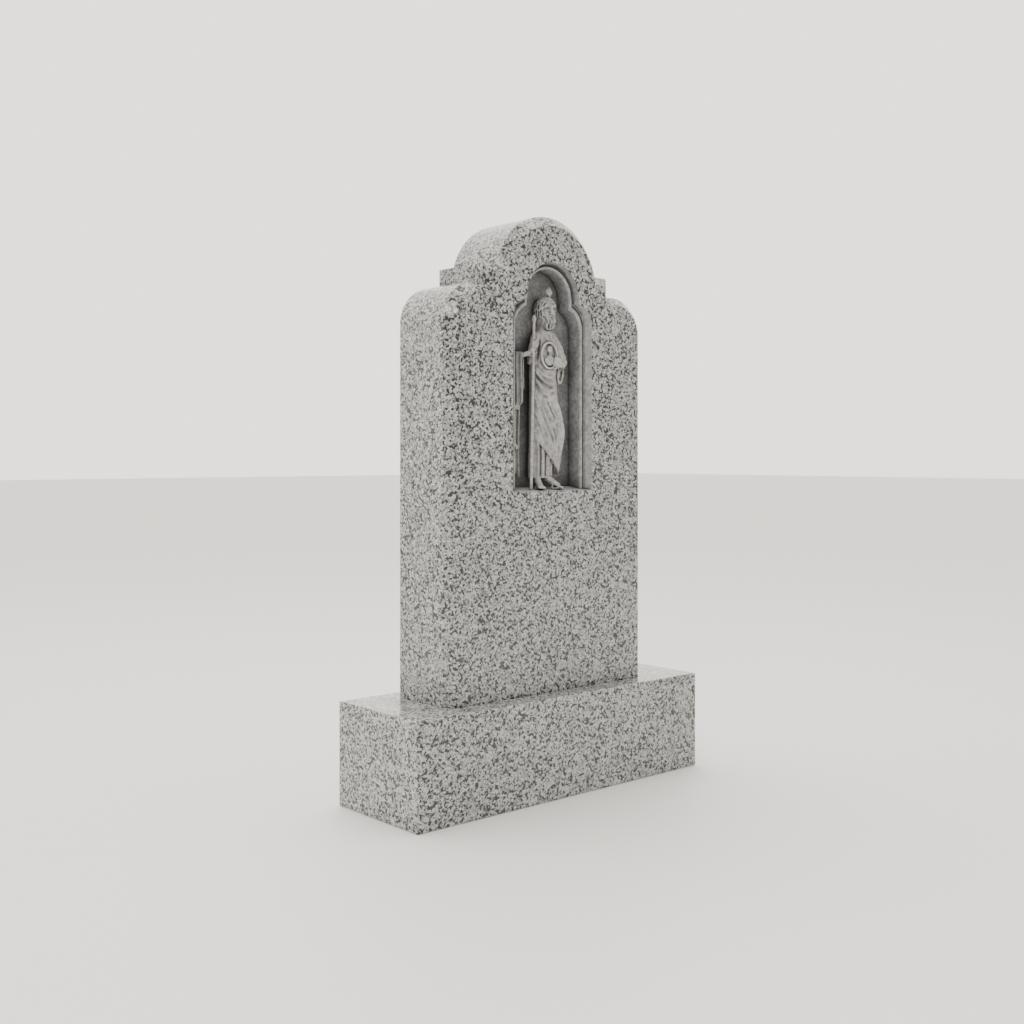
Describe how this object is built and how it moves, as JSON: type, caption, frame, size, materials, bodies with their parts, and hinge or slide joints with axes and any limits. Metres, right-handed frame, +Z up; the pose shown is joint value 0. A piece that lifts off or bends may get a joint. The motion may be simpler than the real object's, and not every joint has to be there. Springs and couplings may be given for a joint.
{
  "type": "headstone",
  "caption": "Granite headstone: a slab with a stepped round top and a robed saint carved in a moulded niche, standing on a rectangular base.",
  "frame": {"origin": "middle of the base block's underside", "axes": "+Z up, the carved front faces -Y, +X to the right as seen from the front"},
  "size_m": [0.708, 0.235, 1.0803],
  "materials": {
    "base_granite": "polished light grey granite with dark flecks",
    "slab_granite": "polished light grey granite with dark flecks, the carved niche left matte and darker"
  },
  "bodies": {
    "root": {"base_block": "base_granite", "headstone": "slab_granite"}
  },
  "joints": []
}
